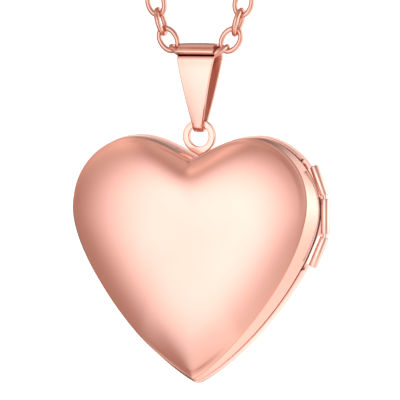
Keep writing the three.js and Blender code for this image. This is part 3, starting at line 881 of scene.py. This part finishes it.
def make_rear_shell():
    rings = rear_dome_rings(SHOULDER_SCALE, 0) + rear_wall_rings()
    rings += reversed(rear_dome_rings(SHOULDER_SCALE - SHEET, REAR_THICKNESS))
    piece = add_object("rear_case", ring_mesh("rear_case", rings), "locket_rear", ROSE, 50)
    piece.data.materials.append(ROSE_PAINTED_SEAT_SHADE)  # painted shade on the seat behind the hinge tubes
    low, high = ((TIP_Z + height) * MM for height in SEAT_SPAN)
    # the seat's outer faces behind the hinge tubes get the painted shade
    for face in piece.data.polygons:
        outside = face.center.x > 0 and face.normal.x > 0
        if outside and low < face.center.z < high and face.center.y < SEAT_BACK_Y * MM:
            face.material_index = 1
    replacing(piece, "rear_shell")


# ---------------------------------------------------------------- inside the locket
# piece, CAD node, body, outer and inner edge as shares of the outline, front and back depth, edge rounding
BANDS = (
    ("front_photo_frame", "front_inner_frame", "locket_front", 0.87, 0.76, -1.3, -0.7, 0.2),
    ("rear_photo_frame", "rear_inner_frame", "locket_rear", 0.9, 0.77, 0.2, 0.9, 0.2),
    ("alignment_rim", "alignment_lip", "locket_rear", 0.935, 0.91, -0.55, 1.0, 0.12),
)
# piece, CAD node, body, edge as a share of the outline, front and back depth, material, slot
PLATES = (
    ("front_film", "front_window", "locket_front", 0.84, -1.6, -1.4, FILM, "clear_film"),
    ("rear_film", "rear_window", "locket_rear", 0.86, 0.95, 1.15, FILM, "clear_film"),
    ("front_card", "front_photo", "locket_front", 0.8, -1.85, -1.65, CARD, "picture_card"),
    ("rear_card", "rear_photo", "locket_rear", 0.84, 1.2, 1.4, CARD, "picture_card"),
    ("front_dust_plate", "front_backing_plate", "locket_front", 0.78, -2.2, -1.9, PLATE, "inner_plate"),
    ("rear_dust_plate", "rear_backing_plate", "locket_rear", 0.83, 1.45, 1.75, PLATE, "inner_plate"),
)
PLATE_SHARES = [0.05, 0.2, 0.4, 0.6, 0.75, 0.86, 0.93]
PLATE_EDGE = 0.96
PLATE_ROUND = 0.05
SNAP_BEAD_X = -14.12
SNAP_BEAD_Y = -0.05
SNAP_BEAD_PROFILE = ((0, 0.02), (0, 0.3), (0, 0.45), (0.08, 0.44),
                     (0.15, 0.4), (0.22, 0.3), (0.28, 0.15), (0.3, 0.02))  # lift and radius


def make_band(name, node, body, outer, inner, y0, y1, radius):
    """A flat heart-shaped band with eased edges."""
    middle = (y0 + y1) / 2
    corners = [(outer, middle), (outer, y0), (inner, y0), (inner, y1), (outer, y1), (outer, middle)]
    line = rounded([(share * HALF_WIDTH, y) for share, y in corners], radius)[:-1]
    rings = [heart_ring(across / HALF_WIDTH, y) for across, y in line]
    replacing(add_object(name, ring_mesh(name, rings, True), body, ROSE_SATIN, 40), node)


def make_plate(name, node, body, outer, y0, y1, material, slot):
    """A thin heart-shaped plate, card or film."""
    corners = ((outer * PLATE_EDGE, y0), (outer, y0), (outer, y1), (outer * PLATE_EDGE, y1))
    line = rounded([(share * HALF_WIDTH, y) for share, y in corners], PLATE_ROUND)
    rings = [heart_ring(outer * share, y0) for share in PLATE_SHARES]
    rings += [heart_ring(across / HALF_WIDTH, y) for across, y in line]
    rings += [heart_ring(outer * share, y1) for share in reversed(PLATE_SHARES)]
    replacing(add_object(name, ring_mesh(name, rings), body, material, 40), node)


def make_snap_bead():
    """The small dome on the left of the alignment rim that the front cover snaps over."""
    rings = [hoop((SNAP_BEAD_X - lift, SNAP_BEAD_Y, WIDEST_Z), radius, (0, 1, 0), (0, 0, 1), 32)
             for lift, radius in SNAP_BEAD_PROFILE]
    mesh = ring_mesh("snap_bead", rings)
    replacing(add_object("snap_bead", mesh, "locket_rear", ROSE_SATIN, 50), "catch_bead")


# ---------------------------------------------------------------- hinge
BACKWARDS = np.array((0, 1, 0))
LEAF_SIDES = (-0.38, -0.12)  # from the tube's middle, outwards
LEAF_FOOT = 0.4  # how far behind the tube's middle the leaf starts
LEAF_EASE = 0.08
LEAF_GAP = 0.03  # how far the leaf stops short of the tube's ends
# the ledge that fills the corner between tube and collar, outwards and backwards from the tube's middle
LEDGE = ((-0.82, -0.2), (-0.78, -0.24), (-0.42, -0.24), (-0.38, 0.1), (-0.82, 0.1))


def make_knuckle(name, node, body, run, leaf_length):
    """A tube with eased ends; with a leaf length it has a leaf that lies back along the rear case."""
    start, end = (np.array((x, HINGE_Y, z)) for x, z in run)
    along = start - end
    length = np.linalg.norm(along)
    along /= length
    out = np.cross(BACKWARDS, along)
    ease = KNUCKLE_EASE
    corners = [(BORE_R, ease), (BORE_R + ease, 0), (KNUCKLE_R - ease, 0),
               (KNUCKLE_R - ease * 0.3, ease * 0.3), (KNUCKLE_R, ease)]
    profile = corners + [(radius, length - height) for radius, height in reversed(corners)]
    rings = [hoop(end + along * height, radius, out, BACKWARDS, 48) for radius, height in profile]
    mesh = ring_mesh(name, rings, True)
    if leaf_length:
        low, high = LEAF_SIDES
        leaf = [(low, LEAF_FOOT), (low, leaf_length - LEAF_EASE), (low + LEAF_EASE, leaf_length),
                (high - LEAF_EASE, leaf_length), (high, leaf_length - LEAF_EASE), (high, LEAF_FOOT + 0.02)]
        for section in (leaf, LEDGE):
            rings = [[end + along * height + out * a + BACKWARDS * b for a, b in section]
                     for height in (LEAF_GAP, length - LEAF_GAP)]
            mesh = boolean(mesh, ring_mesh(name + "_leaf", rings), "UNION")
        mesh.name = name
    piece = add_object(name, mesh, body, ROSE_HINGE_PAINTED_LIGHT, 35)
    piece.visible_glossy = False  # keeps its dark back out of the mirror-like wall beside it
    replacing(piece, node)


def make_hinge_wire():
    """The bent wire through all three tubes."""
    points = np.array([(x, HINGE_Y, z) for x, z in rounded(PIN_POINTS, 0.3, 6)])
    rings = []
    for point, way in zip(points, np.gradient(points, axis=0)):
        out = np.cross(way / np.linalg.norm(way), BACKWARDS)
        rings.append(hoop(point, PIN_R, out, BACKWARDS, 16))
    wire = add_object("hinge_wire", ring_mesh("hinge_wire", rings), "locket_rear", WIRE, 60)
    replacing(wire, "hinge_pin")


# ---------------------------------------------------------------- eyelet and bail
BAIL_INSIDE_FACES = 4  # the first faces of each band of the strip look inwards


def make_eyelet():
    """The flat ring on top of the rear case, with its foot in the notch."""
    outline = arc((0, EYELET_Z), EYELET_R, -EYELET_FOOT_ANGLE, 180 + EYELET_FOOT_ANGLE, 96) + EYELET_FOOT
    hole = arc((0, EYELET_Z), EYELET_HOLE_R, 360, 5, 72)
    mesh = slab("eyelet_ring", outline, [hole], EYELET_THICKNESS, HANG_Y, 0.1)
    replacing(add_object("eyelet_ring", mesh, "locket_rear", ROSE, 50, True), "eyelet_tab")


def bail_swell(z):
    """How far the bail's front stands out at a height: the rolled edge above the crease, a dip below."""
    slot = BAIL_SLOT * math.exp(-((z - BAIL_CREASE_Z) / BAIL_SLOT_HALF) ** 2)
    if z < BAIL_CREASE_Z:
        return -BAIL_CREASE * math.exp((z - BAIL_CREASE_Z) / BAIL_CREASE_FADE) - slot
    share = min((z - BAIL_CREASE_Z) / BAIL_BEAD_TALL, 1)
    return (BAIL_BEAD + BAIL_CREASE) * math.sin(math.pi * share**0.45) - BAIL_CREASE * (1 - share) - slot


def bail_section(centre_z, radius, angle):
    """A cross-section of the strip at an angle round a bend's centre; radius is to its inner face."""
    z = centre_z + radius * math.sin(angle)
    rise = min(max((z - BAIL_FOOT_Z) / BAIL_DROP, 0), 1)
    half = (BAIL_FOOT_WIDTH + (BAIL_TOP_WIDTH - BAIL_FOOT_WIDTH) * rise) / 2
    if math.cos(angle) < 0:
        radius += bail_swell(z)
    ease, bevel = BAIL_EASE, BAIL_EASE * 1.6
    shoulder = BAIL_SHEET + BAIL_CROWN * 0.75
    inside = [(-half, ease), (-half + ease, 0), (0, 0), (half - ease, 0), (half, ease)]
    outside = [(half, BAIL_SHEET - bevel), (half - bevel, BAIL_SHEET), (half * 0.5, shoulder),
               (0, BAIL_SHEET + BAIL_CROWN), (-half * 0.5, shoulder), (-half + bevel, BAIL_SHEET),
               (-half, BAIL_SHEET - bevel)]
    return [(x, HANG_Y + (radius + out) * math.cos(angle), centre_z + (radius + out) * math.sin(angle))
            for x, out in inside + outside]


def bail_leg(angle, shares):
    """The leg between the roll on top, at share 0, and the fold at the foot, at share 1."""
    rings = []
    for share in shares:
        radius = BAIL_TOP_R + (BAIL_FOOT_R - BAIL_TOP_R) * share + BAIL_BOW * 4 * share * (1 - share)
        rings.append(bail_section(BAIL_TOP_Z - BAIL_DROP * share, radius, angle))
    return rings


def make_bail():
    """One strip of sheet: the roll on top, the front leg, the fold at the foot and the rear leg."""
    rear, front = -BAIL_LEAN, math.pi + BAIL_LEAN
    leg_shares = np.linspace(0, 1, 22)[1:-1]
    rings = [bail_section(BAIL_TOP_Z, BAIL_TOP_R, rear + t * (front - rear)) for t in np.linspace(0, 1, 190)]
    rings += bail_leg(front, leg_shares)
    rings += [bail_section(BAIL_FOOT_Z, BAIL_FOOT_R, front + t * (2 * math.pi + rear - front))
              for t in np.linspace(0, 1, 28)]
    rings += bail_leg(rear, 1 - leg_shares)
    mesh = ring_mesh("bail_strip", rings, True)
    piece = add_object("bail_strip", mesh, "bail", ROSE_WITH_PAINTED_CREASE_SHADE, 35)
    piece.data.materials.append(ROSE_SATIN_INSIDE_PAINTED_LIGHT)
    piece.data.materials.append(ROSE)
    # only the bail's outer front faces keep the painted crease shade; the inner faces and the rear leg get
    # other metals
    for face in piece.data.polygons:
        if face.index % len(rings[0]) < BAIL_INSIDE_FACES:
            face.material_index = 1
        elif face.center.y > HANG_Y * MM:
            face.material_index = 2
    replacing(piece, "bail")


make_front_shell()
make_rear_shell()
for band in BANDS:
    make_band(*band)
for plate in PLATES:
    make_plate(*plate)
make_snap_bead()
for knuckle in KNUCKLES:
    make_knuckle(*knuckle)
make_hinge_wire()
make_eyelet()
make_bail()


# ---------------------------------------------------------------- floor and studio light
FLOOR_SIZE = 60  # in metres, so that its edge is never seen
FLOOR_DROP = 70
ROOM_COLOUR = (0.05, 0.032, 0.026, 1)
WIDE_FALLOFF = ((0, 1.0), (60, 1.0), (95, 0.9), (115, 0.2), (130, 0.0))
FRONT_FALLOFF = ((0, 1.0), (10, 0.86), (20, 0.6), (31, 0.3), (43, 0.05), (54, 0.0))
SIDE_FALLOFF = ((0, 1.0), (40, 1.0), (50, 0.85), (60, 0.3), (70, 0.0))
PATCH_FALLOFF = ((0, 1.0), (11, 0.92), (20, 0.5), (30, 0.1), (38, 0.0))
SMALL_FALLOFF = ((0, 1.0), (6, 0.95), (11, 0.5), (16, 0.1), (20, 0.0))
EDGED_FALLOFF = ((0, 1.0), (13, 1.0), (15, 0.4), (18, 0.0))
# azimuth, elevation, falloff, colour
GLOWS = (
    (0, -10, WIDE_FALLOFF, (0.43, 0.275, 0.24)),
    (-13, 1, FRONT_FALLOFF, (1.35, 1.47, 1.6)),
    (-70, 40, PATCH_FALLOFF, (0.4, 0.36, 0.34)),
    (4, 78, PATCH_FALLOFF, (0.26, 0.25, 0.24)),
    (-47, 48, SMALL_FALLOFF, (0.28, 0.24, 0.22)),
    (-16, -36, PATCH_FALLOFF, (0.36, 0.46, 0.5)),
    (-10, -62, PATCH_FALLOFF, (0.3, 0.3, 0.3)),
    (34, -46, PATCH_FALLOFF, (0.55, 0.5, 0.47)),
    (130, -8, SIDE_FALLOFF, (1.02, 1.02, 1.02)),
    (110, 6, PATCH_FALLOFF, (0.5, 0.8, 0.85)),
    (74, 0, PATCH_FALLOFF, (0.3, 0.34, 0.33)),
    (189, 5, EDGED_FALLOFF, (0.95, 0.8, 0.74)),
    (188, -24, SMALL_FALLOFF, (0.7, 0.62, 0.58)),
    (-140, 52, PATCH_FALLOFF, (0.6, 0.5, 0.48)),
    (178, -64, PATCH_FALLOFF, (0.55, 0.52, 0.5)),
    (-112, 4, PATCH_FALLOFF, (0.5, 0.42, 0.4)),
)


def make_floor():
    bpy.ops.mesh.primitive_plane_add(size=FLOOR_SIZE, location=(0, 0, (TIP_Z - FLOOR_DROP) * MM))
    floor = bpy.context.object
    floor.name = "floor"
    floor.visible_glossy = False
    material, _, _, shader = new_material("pale_floor")
    shader.inputs["Base Color"].default_value = (0.9, 0.9, 0.9, 1)
    shader.inputs["Roughness"].default_value = 0.9
    shader.inputs["Specular IOR Level"].default_value = 0
    shader.inputs["Emission Color"].default_value = (1, 1, 1, 1)
    shader.inputs["Emission Strength"].default_value = 0.7
    floor.data.materials.append(material)


def glow(nodes, links, way, azimuth, elevation, falloff, colour):
    """A soft patch of studio light round one direction; falloff pairs an angle in degrees with a level."""
    facing = nodes.new("ShaderNodeVectorMath")
    facing.operation = "DOT_PRODUCT"
    facing.inputs[1].default_value = direction(azimuth, elevation)
    links.new(way, facing.inputs[0])
    angle = calculate(nodes, links, "ARCCOSINE", facing.outputs["Value"])
    share = calculate(nodes, links, "DIVIDE", angle, math.pi)
    ramp = nodes.new("ShaderNodeValToRGB")
    ramp.color_ramp.interpolation = "B_SPLINE"
    stops = ramp.color_ramp.elements
    while len(stops) < len(falloff):
        stops.new(0.5)
    for stop, (degrees, level) in zip(stops, falloff):
        stop.position = degrees / 180
        stop.color = (level, level, level, 1)
    links.new(share, ramp.inputs["Fac"])
    patch = nodes.new("ShaderNodeBackground")
    tinted = nodes.new("ShaderNodeMix")
    tinted.data_type = "RGBA"
    tinted.blend_type = "MULTIPLY"
    tinted.inputs["Factor"].default_value = 1
    tinted.inputs["B"].default_value = (*colour, 1)
    links.new(ramp.outputs["Color"], tinted.inputs["A"])
    links.new(tinted.outputs["Result"], patch.inputs["Color"])
    return patch.outputs["Background"]


def make_world():
    """A dim warm room with soft patches of light in front, at the sides, behind and above."""
    world = bpy.data.worlds.new("studio")
    bpy.context.scene.world = world
    world.use_nodes = True
    nodes, links = world.node_tree.nodes, world.node_tree.links
    way = nodes.new("ShaderNodeTexCoord").outputs["Generated"]
    room = nodes["Background"]
    room.inputs["Color"].default_value = ROOM_COLOUR
    total = room.outputs["Background"]
    for azimuth, elevation, falloff, colour in GLOWS:
        both = nodes.new("ShaderNodeAddShader")
        links.new(total, both.inputs[0])
        links.new(glow(nodes, links, way, azimuth, elevation, falloff, colour), both.inputs[1])
        total = both.outputs["Shader"]
    seen = nodes.new("ShaderNodeBackground")
    seen.inputs["Color"].default_value = (1, 1, 1, 1)
    path = nodes.new("ShaderNodeLightPath")
    mix = nodes.new("ShaderNodeMixShader")
    links.new(path.outputs["Is Camera Ray"], mix.inputs["Fac"])
    links.new(total, mix.inputs[1])
    links.new(seen.outputs["Background"], mix.inputs[2])
    links.new(mix.outputs["Shader"], nodes["World Output"].inputs["Surface"])


make_floor()
make_world()
bpy.context.scene.view_settings.view_transform = "Standard"
